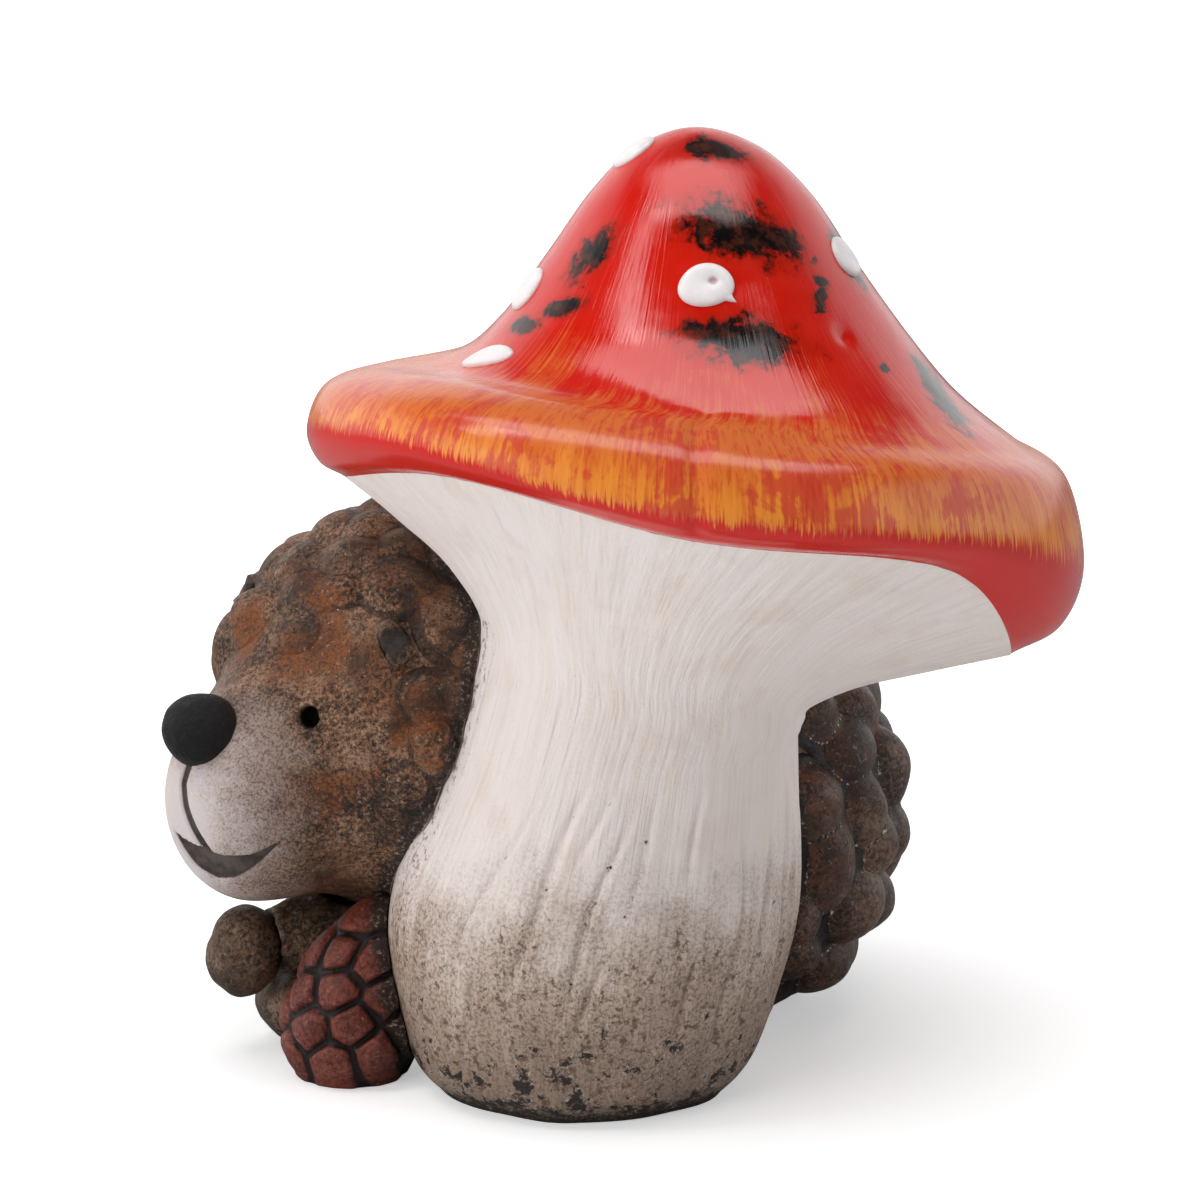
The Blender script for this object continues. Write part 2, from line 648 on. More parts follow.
toadstool = {
    "capMiddle": 0.020, "rimReach": (0.0710, 0.0690, 0.0670, 0.0680, 0.0695, 0.0670, 0.0640, 0.0670),
    "rimHeight": (0.098, 0.103, 0.110, 0.118, 0.123, 0.129, 0.121, 0.113),
    "rollRise": (0.022, 0.016, 0.011, 0.010, 0.011, 0.009, 0.013, 0.015),
    "lipReach": (0.0578, 0.0580, 0.0580, 0.0600, 0.0630, 0.0600, 0.0570, 0.0600),
    "lipHeight": (0.0804, 0.090, 0.100, 0.108, 0.114, 0.123, 0.115, 0.107),
    "rollBulge": 0.28, "bulgePlace": 0.68, "rollDepth": 0.012, "shoulder": (0.28, 0.7), "crownSway": 0.0022,
    "crown": ((0.046, 0.1330), (0.0368, 0.1415), (0.0280, 0.1535), (0.0197, 0.1655), (0.0110, 0.1737)),
    "peak": 0.1772, "flare": ((0.04, 0.22), (0.28, 0.50), (0.62, 0.75)),
    "stem": ((0.0275, 0.0), (0.0332, 0.0085), (0.0375, 0.034), (0.0313, 0.066)),
    "neck": (0.0295, 0.076), "neckTilt": 0.0075, "neckLean": 0.0109,
    "wall": 0.0045, "floor": 0.006, "seam": 0.0003,
    # azimuth and distance out of a dent in the crown, then its half width and depth
    "dent": (313.5, 0.0359, 0.0017, 0.0007),
    # azimuth of the crease in the roll, its half angle and depth, and where it fades in and out
    "crease": (269.5, 1.6, 0.0007, (0.3, 1.6), (4.0, 5.2)),
}


def level(azimuth, radius, height):
    height = np.broadcast_to(height, azimuth.shape)
    radius = np.broadcast_to(radius, azimuth.shape)
    return np.stack([radius * np.cos(azimuth), radius * np.sin(azimuth), height], axis=1)


def stemPoint(azimuth, radius, height):
    points = level(azimuth, radius, height)
    points[:, 0] += toadstool["neckLean"] * (points[:, 2] / toadstool["neck"][1]) ** 2
    return points


def capPoint(azimuth, radius, height):
    return level(azimuth, radius, height) + np.array((toadstool["capMiddle"], 0, 0))


def lipPoint(azimuth):
    return capPoint(azimuth, around(toadstool["lipReach"], azimuth), around(toadstool["lipHeight"], azimuth))


def capSurface(azimuth, place):
    # place runs from 0 at the lip, over the roll of the rim, to 10 at the peak
    reach = around(toadstool["rimReach"], azimuth)
    height = around(toadstool["rimHeight"], azimuth)
    rise = around(toadstool["rollRise"], azimuth)
    lip = lipPoint(azimuth)
    rim = capPoint(azimuth, reach, height)
    outward = level(azimuth, 1.0, 0.0)
    bulge = rim + (lip - rim) * toadstool["bulgePlace"]
    bulge += outward * (toadstool["rollBulge"] * (height - lip[:, 2]))[:, None]
    depth = toadstool["rollDepth"]
    inward, upward = toadstool["shoulder"]
    corners = [lip, bulge, rim, capPoint(azimuth, reach - inward * depth, height + upward * rise),
               capPoint(azimuth, reach - depth, height + rise)]
    droop = height - np.mean(toadstool["rimHeight"])
    for radius, up in toadstool["crown"]:
        point = capPoint(azimuth, radius, up + droop * (radius / reach) ** 3)
        point[:, 0] += toadstool["crownSway"] * min(radius / toadstool["crown"][1][0], 1)
        corners.append(point)
    peak = capPoint(azimuth, 0.0, toadstool["peak"])
    across = corners[-1] * np.array((-1, -1, 1)) + np.array((2 * toadstool["capMiddle"], 0, 0))
    return alongPath(corners + [peak], place, across)


def flareSurface(azimuth, place):
    # place runs from 0 at the seam on the stem, through the neck, to 5 at the lip
    radius, top = toadstool["stem"][-1]
    start = stemPoint(azimuth, radius, top)
    neck = stemPoint(azimuth, *toadstool["neck"])
    neck[:, 2] -= toadstool["neckTilt"] * np.cos(azimuth)
    lip = lipPoint(azimuth)
    flare = [neck + (lip - neck) * np.array((out, out, up)) for out, up in toadstool["flare"]]
    return alongPath([start, neck, *flare, lip], place)


def stemSurface(azimuth, place):
    # place runs from 0 at the foot's edge to 3 at the seam
    corners = [stemPoint(azimuth, radius, height) for radius, height in toadstool["stem"]]
    return alongPath(corners, place)


burns = (
    # azimuth, distance out from the cap's middle, half length, half width in mm, and roll in degrees
    (287, 22.5, 10.5, 4.6, -22), (280, 34.6, 9.5, 4.2, -8), (220, 25, 5.5, 3.4, 60), (219, 31, 4.5, 1.8, 15),
    (205, 34, 4.5, 1.8, 10), (292, 9, 6.0, 3.4, -20), (346, 28, 6.5, 4.0, 60), (340, 46, 8.5, 4.5, 50),
    (20, 24, 9.0, 4.5, 30), (62, 33, 9.5, 4.5, 0), (110, 20, 8.5, 4.2, -30), (150, 38, 9.0, 4.0, 10),
    (95, 48, 8.0, 4.0, 0), (12, 47, 8.5, 4.0, -20), (312, 31, 2.4, 1.0, 20), (316, 29.5, 1.8, 0.9, -10),
    (309, 32.5, 1.6, 0.8, 0), (322, 41, 1.2, 1.0, 0),
)


def capSpot(azimuth, distance):
    # Point of the cap at an azimuth, this far out from its middle, with its outward direction
    place = np.linspace(10, 3.2, 400)  # from the peak to the shoulder of the roll
    turn = np.full(len(place), math.radians(azimuth))
    points = capSurface(turn, place)
    out = np.hypot(points[:, 0] - toadstool["capMiddle"], points[:, 1])
    best = int(np.argmin(np.abs(out - distance)))
    normal = squareOff(capSurface, turn[:1], place[best:best + 1])[0]
    return Vector(points[best]), Vector(normal)


def rolledSides(azimuth, normal, roll):
    # Directions across and down a spot of the cap, rolled about its outward direction
    across = Vector((-math.sin(math.radians(azimuth)), math.cos(math.radians(azimuth)), 0))
    across = Matrix.Rotation(math.radians(roll), 3, normal) @ across
    return across, normal.cross(across)


def burntShare(points):
    # 0.5 at the edge of a burnt patch, more inside
    share = np.zeros(len(points))
    for azimuth, distance, length, width, roll in burns:
        place, normal = capSpot(azimuth, distance * mm)
        across, down = rolledSides(azimuth, normal, roll)
        offset = points - np.array(place)
        sizes = ((across, length * mm), (down, width * mm), (normal, 8 * mm))
        away = np.sqrt(sum((offset @ np.array(side) / size) ** 2 for side, size in sizes))
        share = np.maximum(share, 1 - 0.5 * away)
    return share


def capPiece():
    # A ball pulled into a hollow cap: over the crown, round the roll, through the lip and back inside
    piece, azimuth, share = newWrap("capTop", 400, 190)
    outside, lipEnd, peak, nearPeak = 0.85, 0.87, 10, 9.6
    outer = share < outside
    place = np.where(outer, peak - peak * (share / outside), peak * (share - lipEnd) / (1 - lipEnd))
    place = np.clip(place, 0, peak)
    points = capSurface(azimuth, place)
    normals = squareOff(capSurface, azimuth, np.clip(place, 0.01, nearPeak))
    normals[place > nearPeak] = (0, 0, 1)
    inner = ~outer & (share > (outside + lipEnd) / 2)
    points[inner] -= normals[inner] * toadstool["wall"]
    relief = capRelief(azimuth, place, points)
    points[outer] += normals[outer] * relief[outer, None]
    writePoints(piece, points)
    storeVector(piece, "capPlace", level(azimuth, 1.0, place / 10))
    storeMask(piece, "burnt", burntShare(points))
    mergePoints(piece)
    return piece


def capRelief(azimuth, place, points):
    # Hand-formed clay: a slow wobble, and a soft crease in the roll at the front
    height = 0.35 * mm * grain(points, 0.022, 3.0)
    turn, width, depth, start, end = toadstool["crease"]
    crease = np.exp(-((azimuth - math.radians(turn)) / math.radians(width)) ** 2)
    height -= depth * crease * smoothStep(*start, place) * (1 - smoothStep(*end, place))
    turn, out, width, depth = toadstool["dent"]
    away = np.linalg.norm(points - np.array(capSpot(turn, out)[0]), axis=1)
    height -= depth * np.exp(-(away / width) ** 2)
    return height


# A brown stain where the hedgehog meets the stem: azimuth, spread and strength, and the height where it fades
grime = {"edges": ((196, 14, 1.0), (352, 9, 0.5)), "fade": (0.088, 0.100)}


def nearHedgehog(points, azimuth):
    edges = [np.exp(-((np.degrees(azimuth) - middle) / spread) ** 2) * strength
             for middle, spread, strength in grime["edges"]]
    return np.max(edges, axis=0) * (1 - smoothStep(*grime["fade"], points[:, 2]))


def flarePiece():
    # A ring pulled into the white flare: its outside, the joint under the lip, its inside, the lower joint
    piece, azimuth, share = newWrap("capUnderside", 400, 150)
    outside, lipEnd, insideEnd, lip = 0.72, 0.73, 0.98, 5.0
    outer = share <= outside
    last = share > 0.999
    back = (insideEnd - share) / (insideEnd - lipEnd)
    place = np.clip(lip * np.where(outer, share / share[outer].max(), back), 0.0, lip)
    place[last] = 0.0
    normals = squareOff(flareSurface, azimuth, np.clip(place, 0.01, lip - 0.01))
    points = flareSurface(azimuth, place)
    relief = flareRelief(azimuth, place, points)
    points[outer] += normals[outer] * relief[outer, None]
    inner = ~outer & ~last
    points[inner] -= normals[inner] * toadstool["wall"]
    writePoints(piece, points)
    storeVector(piece, "slipPlace", level(azimuth, 1.0, 0.66 + place / 6))
    storeBlank(piece, "groove")
    storeMask(piece, "grime", nearHedgehog(points, azimuth))
    mergePoints(piece, turned=True)
    return piece


def flareRelief(azimuth, place, points):
    # Shallow brush marks, drawn out along the flare, that end at the seam
    marks = grain(level(azimuth, 26, place * 1.2), 1.0, 8.0)
    return (0.25 * mm * grain(points, 0.012, 7.0) + 0.18 * mm * marks) * smoothStep(0.0, 0.30, place)


def stemPiece():
    # A ball pulled into the hollow stem: foot, swelling side, top joint, inside wall and inside floor
    piece, azimuth, share = newWrap("toadstoolStem", 500, 180)
    footEnd, outside, seam = 0.08, 0.86, 3
    foot = share < footEnd
    outer = (share >= footEnd) & (share < outside)
    rest = share >= outside
    place = np.clip(seam * (share - footEnd) / (share[outer].max() - footEnd), 0, seam)
    points = stemSurface(azimuth, place)
    points[foot] = stemPoint(azimuth[foot], toadstool["stem"][0][0] * share[foot] / footEnd, 0.0)
    normals = squareOff(stemSurface, azimuth, np.clip(place, 0.01, seam - 0.01))
    relief = stemRelief(azimuth, place, points)
    points[outer] += normals[outer] * relief[outer, None]
    # the way back: down the inside wall, then over the inside floor to its middle
    back = (share[rest] - outside) / (1 - outside)
    wallEnd, wallDown, floorReach = 0.7, 2.2, 0.028
    wall = stemSurface(azimuth[rest], seam - wallDown * np.clip(back / wallEnd, 0, 1))
    wall -= level(azimuth[rest], toadstool["wall"], 0.0)
    floorShare = np.clip((1 - back) / (1 - wallEnd), 0, 1)
    floor = stemPoint(azimuth[rest], floorReach * floorShare, toadstool["floor"])
    points[rest] = np.where((back < wallEnd)[:, None], wall, floor)
    points[:, 2] = np.minimum(points[:, 2], toadstool["stem"][-1][1])
    writePoints(piece, points)
    storeVector(piece, "slipPlace", level(azimuth, 1.0, points[:, 2] * 10))
    storeMask(piece, "groove", grooveShare(azimuth, points))
    storeMask(piece, "grime", nearHedgehog(points, azimuth))
    mergePoints(piece, turned=True)
    return piece


grooves = (
    # azimuth and height in mm at the top, then at the foot, width and depth in mm
    (258, 66, 245.4, 22.6, 1.5, 0.55), (266, 66, 260.1, 50, 1.3, 0.35), (273.0, 60.6, 262, 24, 1.1, 0.40),
    (296.1, 64.5, 294.2, 46, 0.9, 0.30), (301.2, 36.5, 297.0, 18, 0.9, 0.45), (275, 35, 265, 18, 1.0, 0.50),
    (325.9, 54.6, 320, 12, 0.9, 0.30), (236, 32, 227.5, 3.1, 1.1, 0.40), (242.2, 62.9, 227.4, 30, 1.2, 0.25),
    (281.4, 63.8, 276, 40, 1.4, 0.25), (314.6, 54.3, 311, 14, 0.8, 0.30), (216, 40, 213, 6, 0.9, 0.35),
    (205, 55, 203, 20, 1.0, 0.25), (336, 62, 338, 20, 0.9, 0.25), (350, 58, 354, 12, 1.0, 0.30),
    (8, 60, 14, 16, 1.1, 0.35), (24, 62, 30, 8, 1.0, 0.35), (175, 60, 168, 14, 1.1, 0.35),
    (160, 58, 152, 22, 1.0, 0.30), (45, 60, 52, 14, 1.1, 0.35), (140, 60, 132, 10, 1.1, 0.35),
)


def grooveShare(azimuth, points):
    # 1 along the bottom of the tool's diagonal grooves
    return np.max([groove(azimuth, points, *ends, width) for *ends, width, depth in grooves], axis=0)


def groove(azimuth, points, top, high, foot, low, width):
    # One groove: a line that wavers a little and fades at its ends, across the stem's radius of 36 mm
    height = points[:, 2] / mm
    run = np.clip((high - height) / (high - low), 0, 1)
    middle = np.radians(top + (foot - top) * run) + 0.018 * np.sin(0.19 * height + top)
    aside = (azimuth - middle + math.pi) % (2 * math.pi) - math.pi
    ends = smoothStep(low - 3, low + 6, height) * (1 - smoothStep(high - 8, high + 2, height))
    return np.exp(-(36 * aside / (width / 2)) ** 2) * ends


def stemRelief(azimuth, place, points):
    # Shallow diagonal grooves, drawn with a tool while the clay was wet
    height = 0.5 * mm * grain(points * np.array((1, 1, 0.35)), 0.010, 5.0)
    for *ends, width, depth in grooves:
        # the tool raised a low ridge beside each
        height -= 1.6 * depth * mm * groove(azimuth, points, *ends, width * 1.5)
        height += 0.8 * depth * mm * groove(azimuth - 0.040, points, *ends, width * 1.6)
    return height * (1 - smoothStep(2.86, 3.0, place))


slipWhite = slipMaterial()
capTop = capPiece()
finishPiece(capTop, ["cap_top"], glazeMaterial())
flare = flarePiece()
finishPiece(flare, ["cap_underside"], slipWhite)
stem = stemPiece()
finishPiece(stem, ["toadstool_stem"], slipWhite)
print("toadstool formed")


# Hedgehog

hedgehog = {
    "head": (-0.0312, 0.028, 0.0620), "skull": 0.0378, "faceTurn": 52.0,
    "muzzleReach": 0.0372, "muzzleDrop": 0.010, "muzzleWidth": 0.0165, "muzzleHeight": 0.0195,
    "muzzleBlend": 0.012, "body": (0.0122, 0.045, 0.0375), "bodyLength": 0.0467, "bodyDepth": 0.0430,
    "bodyRise": 0.0465, "bodyDrop": 0.0450, "neckOffset": 0.017, "seam": 0.0003,
}
faceTurn = math.radians(hedgehog["faceTurn"])
face = Vector((-math.sin(faceTurn), -math.cos(faceTurn), 0))
headMiddle = Vector(hedgehog["head"])
bodyMiddle = Vector(hedgehog["body"])
neckLine = (bodyMiddle - headMiddle).normalized()


def headReach(directions):
    # How far the head goes out along each direction: skull and muzzle run smoothly into each other
    muzzle = np.array(face * hedgehog["muzzleReach"]) - np.array((0, 0, hedgehog["muzzleDrop"]))
    sizes = np.array((hedgehog["muzzleWidth"], hedgehog["muzzleWidth"], hedgehog["muzzleHeight"]))
    near = np.full(len(directions), 0.5 * hedgehog["skull"])
    far = np.full(len(directions), 2.0 * hedgehog["skull"])
    for _ in range(22):
        reach = 0.5 * (near + far)
        skull = reach - hedgehog["skull"]
        nose = (np.linalg.norm((directions * reach[:, None] - muzzle) / sizes, axis=1) - 1) * sizes[0]
        mix = np.maximum(hedgehog["muzzleBlend"] - np.abs(skull - nose), 0) / hedgehog["muzzleBlend"]
        distance = np.minimum(skull, nose) - mix ** 2 * hedgehog["muzzleBlend"] / 4
        near = np.where(distance < 0, reach, near)
        far = np.where(distance < 0, far, reach)
    return reach


def bodyReach(directions):
    tall = np.where(directions[:, 2] > 0, hedgehog["bodyRise"], hedgehog["bodyDrop"])
    shares = np.stack([directions[:, 0] / hedgehog["bodyLength"], directions[:, 1] / hedgehog["bodyDepth"],
                       directions[:, 2] / tall], axis=1)
    return 1 / np.linalg.norm(shares, axis=1)


def outFrom(middle, directions, reach):
    return np.array(middle) + directions * reach[:, None]


def faceDirection(turn, rise):
    flat = Matrix.Rotation(math.radians(turn), 3, "Z") @ face
    return (flat * math.cos(math.radians(rise)) + Vector((0, 0, math.sin(math.radians(rise))))).normalized()


def bodyDirection(turn, rise):
    turn, rise = math.radians(turn), math.radians(rise)
    return Vector((math.cos(turn) * math.cos(rise), math.sin(turn) * math.cos(rise), math.sin(rise)))


def onHead(direction, growth=0.0):
    return headMiddle + direction * (headReach(np.array([direction]))[0] + growth)


def toadstoolCutter():
    # The outside of stem and flare, grown by the seam, as one closed shape
    piece, azimuth, share = newWrap("toadstoolCutter", 180, 120)
    lipAt, jointAt, footAt = 0.08, 0.55, 0.97
    sides = []
    for surface, start, end, last in ((flareSurface, lipAt, jointAt, 5), (stemSurface, jointAt, footAt, 3)):
        place = np.clip((end - share) / (end - start) * last, 0, last)
        sides.append(surface(azimuth, place) + squareOff(surface, azimuth, place) * hedgehog["seam"])
    points = np.where((share < jointAt)[:, None], *sides)
    # flat ends, the lower one a little under the floor
    for end, flat, x, sunk in ((share <= lipAt, share / lipAt, toadstool["capMiddle"], 0.0),
                               (share >= footAt, (1 - share) / (1 - footAt), 0.0, 0.002)):
        middle = np.array((x, 0.0, points[end, 2].mean() - sunk))
        points[end] = (middle + (points - middle) * flat[:, None])[end]
    writePoints(piece, points)
    mergePoints(piece)
    return piece


def cutAway(piece, cutter):
    # Takes the toadstool's space out of a piece, and then the crumbs that a cut can leave behind
    applyModifier(piece, "BOOLEAN", operation="DIFFERENCE", solver="MANIFOLD", object=cutter)
    before = set(bpy.data.objects)
    mergePoints(piece, apart=True)
    parts = [piece] + [other for other in bpy.data.objects if other not in before]
    largest = max(parts, key=lambda part: len(part.data.vertices))
    piece.data, largest.data = largest.data, piece.data
    for part in parts[1:]:
        bpy.data.objects.remove(part)


def seamLimit(middle, directions, reach, side):
    # The flat seam between head and body
    offset = headMiddle + neckLine * (hedgehog["neckOffset"] - side * hedgehog["seam"] / 2) - middle
    toSeam = offset.dot(neckLine)
    along = directions @ np.array(neckLine)
    limit = np.where(along * side > 1e-4, toSeam / np.where(np.abs(along) < 1e-4, 1e-4, along), 1.0)
    return np.minimum(reach, limit)


# Lumps that the front view shows: turn and rise of the middle in degrees, width, height and how far
# they stand out in mm, roll in degrees, and how pointed they are
headLumps = [
    (-29, 68, 15, 12, 4.0, 0, 0), (9, 74, 13, 13, 4.2, 0, 0), (-15, 53, 15, 11, 4.0, 0, 0.1),
    (17, 61, 15.5, 10.5, 3.8, 0, 0.2), (3, 46, 12, 10, 3.0, 0, 0), (20, 49, 9, 7, 3.0, 0, 0),
    (-22, 34, 12, 12, 3.6, 0, 0), (7, 35, 10, 8, 1.7, 10, 0), (-36, 22, 11, 12, 3.2, 0, 0),
    (46, 53, 13, 12.5, 3.8, 10, 0.2), (66, 42, 11, 14, 2.6, 0, 0), (57, 19, 9, 9.5, 2.5, 0, 0.1),
    (66, 20, 7, 10, 2.8, 0, 0), (58.6, 5.3, 8, 10, 2.6, 8, 0), (52, -6, 6.5, 9, 1.6, 8, 0),
]
bodyLumps = [
    (-16, 30, 14, 13, 5.0, 0, 0.2), (-34, 35, 13, 13, 4.6, 0, 0.5), (-27, 23, 15, 13, 4.8, 10, 0.1),
    (-6, 13, 13, 16, 5.4, 0, 0.1), (-26, 8, 13, 15, 4.8, 20, 0.6), (-44, 13, 11, 15, 4.2, 5, 0.1),
    (-41, -2, 12, 19, 4.6, -5, 0.1), (-20, -3, 14, 14, 4.8, 15, 0.7), (-26, -16, 17, 14, 5.4, 0, 0.2),
    (-48, -15, 9, 11, 3.6, 0, 0.1), (-45, -27, 10, 11, 3.8, 0, 0.3), (-28, -33, 15, 13, 4.8, 20, 0.2),
    (-12, -20, 13, 13, 4.8, 0, 0.1), (-8, -3, 13, 13, 4.8, 0, 0.1),
]
coat = {
    # rows of lumps around an axis: degrees from it to the first row, step, last, then mm: width, height, rise
    "head": {"start": 61.5, "step": 15, "end": 155, "apart": 11.9, "wide": 15.0, "tall": 14.5, "rise": 3.8,
             "spread": 125, "bare": (-14, 52, -60, 40),
             # points of the sheet, its first and last angle, its side of the neck, how softly lumps meet
             "sheet": (420, 190), "limits": (44, 152), "side": 1, "soft": (0.0006, 0.00025)},
    "body": {"start": 23, "step": 20, "end": 140, "apart": 13.8, "wide": 17.5, "tall": 18.5, "rise": 5.4,
             "spread": 180, "bare": (0, 0, 0, 0),
             "sheet": (420, 200), "limits": (0.5, 150), "side": -1, "soft": (0.0003, 0.0003)},
    "grow": 1.12, "valley": 0.0004, "fade": (1.15, 1.9), "sink": 0.0024, "warp": 0.0010, "warpSize": 0.010,
    "edge": 0.18, "crowded": 0.68, "lowest": 0.004, "pointed": 0.25,
    # the rows' lumps stray by sines of their number and row
    "waves": (37, 23, 17), "rowWave": 11, "strayAlong": 0.14, "strayAcross": 1.6, "strayRoll": 14,
    "strayWidth": 0.10, "strayHeight": 0.08, "levelRise": 0.93, "strayRise": 0.12,
    # the shell: depth of its bottom and of its rim in the hide, thickness at the neck, height over the floor
    "bottom": 0.0022, "rim": 0.0009, "neck": 0.0005, "lift": (0.0002, 0.0006), "reach": 0.009,
    # rise, size and seed of the roughness, then how the masks read gaps, heights and nearness of the face
    "rough": ((0.0003, 0.005, 2.0), (0.00045, 0.011, 8.0)), "full": 0.0012, "creases": (0.0, 0.0009),
    "crests": (0.0012, 0.0045), "soften": (0.45, 0.8), "seen": (0.15, 0.75),
}


def faceAngles(directions):
    rise = np.degrees(np.arcsin(np.clip(directions[:, 2], -1, 1)))
    turn = np.degrees(np.arctan2(face.x * directions[:, 1] - face.y * directions[:, 0],
                                 face.x * directions[:, 0] + face.y * directions[:, 1]))
    return turn, rise


def sidesOf(axis):
    # Two directions square to an axis: up, and to the side
    top = (Vector((0, 0, 1)) - axis * axis.z).normalized()
    return top, axis.cross(top)


def rowLumps(lumps, directionOf, middle, reachOf, axis, rows):
    # Rows around the axis, like the lumps that show, wherever none of those is near
    top, side = sidesOf(axis)
    found = [(directionOf(turn, rise), wide * coat["grow"], tall * coat["grow"], *rest)
             for turn, rise, wide, tall, *rest in lumps]
    placed = [middle + lump[0] * reachOf(np.array([lump[0]]))[0] for lump in found]
    angle, row = rows["start"], 0
    while angle < rows["end"]:
        ring = reachOf(np.array([top]))[0] * math.sin(math.radians(angle)) / mm
        count = max(3, round(2 * math.pi * ring / rows["apart"]))
        for k in range(count):
            along, across, swell = (math.sin(wave * k + coat["rowWave"] * row) for wave in coat["waves"])
            turn = 2 * math.pi * (k + 0.5 * (row % 2) + coat["strayAlong"] * along) / count
            tilt = math.radians(angle + coat["strayAcross"] * across)
            aside = top * math.cos(turn) + side * math.sin(turn)
            direction = axis * math.cos(tilt) + aside * math.sin(tilt)
            place = middle + direction * reachOf(np.array([direction]))[0]
            near = min((place - other).length for other in placed) / mm
            (sideways,), (above,) = faceAngles(np.array([direction]))
            left, right, low, high = rows["bare"]
            bare = left < sideways < right and low < above < high
            shown = abs((math.degrees(turn) + 180) % 360 - 180) < rows["spread"]
            free = near > coat["crowded"] * rows["apart"] and place.z > coat["lowest"]
            if shown and free and not bare:
                found.append((direction, rows["wide"] * (1 + coat["strayWidth"] * swell),
                              rows["tall"] * (1 + coat["strayHeight"] * along),
                              rows["rise"] * (coat["levelRise"] + coat["strayRise"] * along),
                              coat["strayRoll"] * along, coat["pointed"] * (1 + along)))
        angle += rows["step"]
        row += 1
    return found


def lumpHeights(points, lumps, middle, reachOf, soft):
    # Height above the hide where the lumps run into each other, and how far the second one is below the first
    warp = np.array([noise.noise_vector(point) for point in points / coat["warpSize"]])
    warped = points + coat["warp"] * warp
    best = np.full(len(points), -1.0)
    second = np.full(len(points), -1.0)
    total = np.zeros(len(points))
    nearest = np.full(len(points), 9.0)
    foot = math.sqrt(coat["edge"])
    full = math.sqrt(1 + coat["edge"]) - foot
    for direction, wide, tall, rise, roll, point in lumps:
        out = np.array(direction)
        place = np.array(middle) + out * reachOf(np.array([direction]))[0]
        upward = np.array((0, 0, 1.0)) - out * out[2]
        upward /= max(np.linalg.norm(upward), 1e-6)
        across = np.cross(upward, out)
        turn = math.radians(roll)
        across, upward = (across * math.cos(turn) + upward * math.sin(turn),
                          upward * math.cos(turn) - across * math.sin(turn))
        offset = warped - place
        u = offset @ across / (wide / 2 * mm)
        v = offset @ upward / (tall / 2 * mm)
        w = offset @ out / coat["reach"]
        far = u * u + v * v + w ** 4
        dome = (np.sqrt(coat["edge"] + np.maximum(1 - far, 0)) - foot) / full
        dome = np.where(far < 1, dome, (1 - far) / (2 * foot * full))
        height = rise * mm * ((1 - point) * dome + point * (1 - np.sqrt(far)))
        height = np.maximum(height, -0.02)
        total += np.exp(height / soft)
        nearest = np.minimum(nearest, far)
        higher = height > best
        second = np.where(higher, best, np.maximum(second, height))
        best = np.where(higher, height, best)
    valley = coat["valley"] - coat["sink"] * smoothStep(*coat["fade"], nearest)
    total += np.exp(valley / soft)
    return soft * np.log(total), best - np.maximum(second, valley)


def turnedAround(axis, azimuth, polar):
    # Directions by azimuth and polar angle around an axis
    top, side = sidesOf(axis)
    return (np.cos(polar)[:, None] * np.array(axis) + np.sin(polar)[:, None]
            * (np.cos(azimuth)[:, None] * np.array(top) + np.sin(azimuth)[:, None] * np.array(side)))


def segmentDistance(points, start, end):
    start, end = np.array(start), np.array(end)
    run = end - start
    share = np.clip((points - start) @ run / (run @ run), 0, 1)
    return np.linalg.norm(points - start - share[:, None] * run, axis=1)


smile = {
    "turn": (-4.6, 0.9, 5.4, 9.8, 14.5, 17.6, 21.0), "top": (-15.0, -16.1, -17.1, -18.6, -19.0, -18.2, -17.0),
    "bottom": (-15.0, -22.4, -24.8, -24.5, -22.3, -19.9, -17.0), "depth": 0.0011,
    "philtrum": ((0.6, 0.0), (0.2, -5.0), (1.8, -9.4), (3.8, -13.2), (5.3, -15.8), (6.3, -17.6)),
    "philtrumEdge": (0.0004, 0.0013), "philtrumDepth": 0.0009, "mouthEdge": (-0.25, 0.45),
    "eyes": ((22.8, 11.9), (-22.8, 11.9)), "eyeEdge": (0.0018, 0.0023), "eyeDepth": 0.0038,
}


stains = {
    "sootReach": (0.0005, 0.0060),
    # turn and rise of each rusty place on the head, and how far it spreads, in degrees
    "rust": ((11, 25, 9), (32, -8, 9), (51, 16, 9), (25, 34, 7), (57, 3, 6), (-14, 30, 9), (-36, 4, 10),
             (-50, 30, 9)),
}


def storeStains(piece):
    # Soot gathers where the hedgehog meets the toadstool, rust in a few places of the head
    points = readPoints(piece)
    near = np.full(len(points), 0.03)
    for i, point in enumerate(points):
        for tree in toadstoolTrees:
            distance = tree.find_nearest(Vector(point), near[i])[3]
            if distance is not None:
                near[i] = min(near[i], distance)
    storeMask(piece, "soot", 1 - smoothStep(*stains["sootReach"], near))
    directions = points - np.array(headMiddle)
    directions /= np.linalg.norm(directions, axis=1)[:, None]
    rust = np.zeros(len(points))
    for turn, rise, spread in stains["rust"]:
        apart = np.degrees(np.arccos(np.clip(directions @ np.array(faceDirection(turn, rise)), -1, 1)))
        rust = np.maximum(rust, np.exp(-(apart / spread) ** 2))
    storeMask(piece, "rust", rust)


